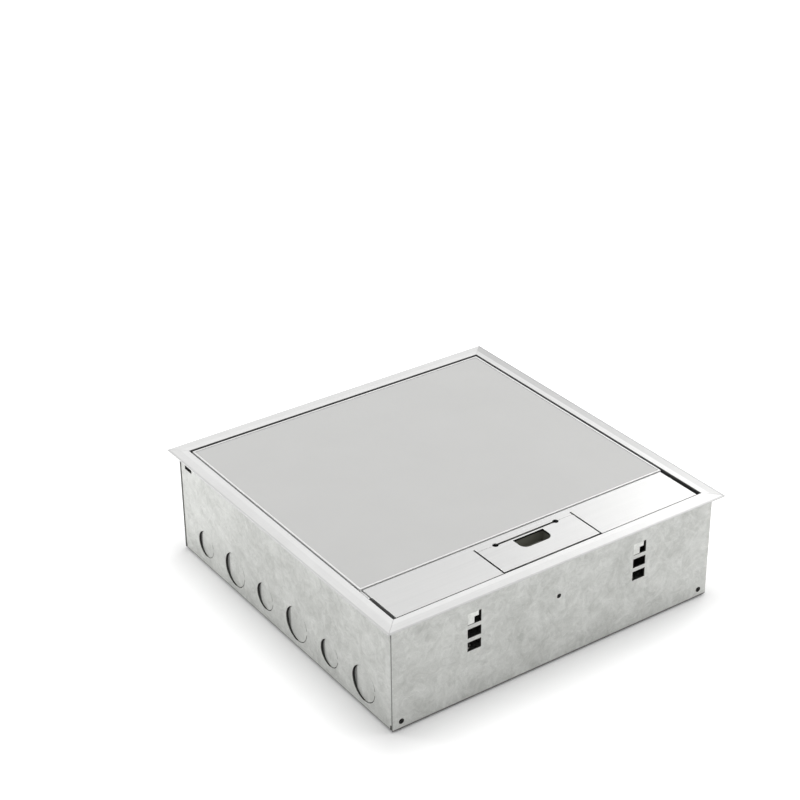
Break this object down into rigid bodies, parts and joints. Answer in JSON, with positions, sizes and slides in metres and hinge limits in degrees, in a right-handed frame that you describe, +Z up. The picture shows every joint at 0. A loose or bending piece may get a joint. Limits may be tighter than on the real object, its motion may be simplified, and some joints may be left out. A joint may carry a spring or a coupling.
{
  "type": "floor socket box",
  "caption": "Square floor box in galvanised sheet with a trim frame, a hinged lid, a hinged cable flap and a sprung latch tongue, holding power and data outlets.",
  "frame": {"origin": "centre of the box's underside", "axes": "+X along the front wall to the right, -Y out of the front wall that the cable flap lies beside, +Z up out of the lid"},
  "size_m": [0.276, 0.276, 0.0815],
  "materials": {
    "body_tray": "galvanised",
    "front_wall": "galvanised",
    "rear_wall": "galvanised",
    "trim_front": "satin anodised",
    "trim_rear": "satin anodised",
    "trim_left": "satin anodised",
    "trim_right": "satin anodised",
    "trim_corner_keys": "zinc plated",
    "trim_screws": "zinc plated",
    "trim_clips": "spring steel",
    "lid_seal": "closed-cell foam",
    "latch_catch": "zinc plated",
    "lid_tray": "stainless",
    "lid_core": "dense board",
    "lid_cover": "matt grey",
    "lid_hinge_blocks": "moulded",
    "lid_hinge_pins": "bright",
    "flap_hinge_pins": "bright",
    "cable_flap": "brushed stainless",
    "flap_pads": "closed-cell foam",
    "latch_tongue": "brushed stainless",
    "latch_hook": "zinc plated",
    "finger_cup": "moulded",
    "front_hangers": "galvanised",
    "rear_hangers": "galvanised",
    "power_plate": "galvanised",
    "data_plate": "galvanised",
    "plate_screws": "zinc plated",
    "power_outlet": "moulded white",
    "data_frame": "moulded white",
    "data_jacks": "moulded",
    "outlet_screws": "zinc plated",
    "divider": "galvanised",
    "divider_rivets": "bright",
    "earth_stud": "bright",
    "earth_nuts": "bright"
  },
  "bodies": {
    "box": {"body_tray": "body_tray", "front_wall": "front_wall", "rear_wall": "rear_wall", "trim_front": "trim_front", "trim_rear": "trim_rear", "trim_left": "trim_left", "trim_right": "trim_right", "trim_corner_keys": "trim_corner_keys", "trim_screws": "trim_screws", "trim_clips": "trim_clips", "lid_seal": "lid_seal", "latch_catch": "latch_catch", "front_hangers": "front_hangers", "rear_hangers": "rear_hangers", "power_plate": "power_plate", "data_plate": "data_plate", "plate_screws": "plate_screws", "power_outlet": "power_outlet", "data_frame": "data_frame", "data_jacks": "data_jacks", "outlet_screws": "outlet_screws", "divider": "divider", "divider_rivets": "divider_rivets", "earth_stud": "earth_stud", "earth_nuts": "earth_nuts"},
    "lid": {"lid_tray": "lid_tray", "lid_core": "lid_core", "lid_cover": "lid_cover", "lid_hinge_blocks": "lid_hinge_blocks", "lid_hinge_pins": "lid_hinge_pins", "flap_hinge_pins": "flap_hinge_pins"},
    "flap": {"cable_flap": "cable_flap", "flap_pads": "flap_pads"},
    "tongue": {"latch_tongue": "latch_tongue", "latch_hook": "latch_hook", "finger_cup": "finger_cup"}
  },
  "joints": [
    {"name": "lid_hinge", "type": "hinge", "parent": "box", "child": "lid", "pos_m": [0, 0.1127, 0.0766], "axis": [-1, 0, 0], "range_deg": [0, 105]},
    {"name": "flap_hinge", "type": "hinge", "parent": "lid", "child": "flap", "pos_m": [0, -0.0933, 0.0783], "axis": [-1, 0, 0], "range_deg": [0, 95]},
    {"name": "tongue_press", "type": "hinge", "parent": "flap", "child": "tongue", "pos_m": [0, -0.096, 0.08005], "axis": [1, 0, 0], "range_deg": [0, 6], "stiffness_Nm_per_rad": 2, "springref_deg": -5}
  ]
}
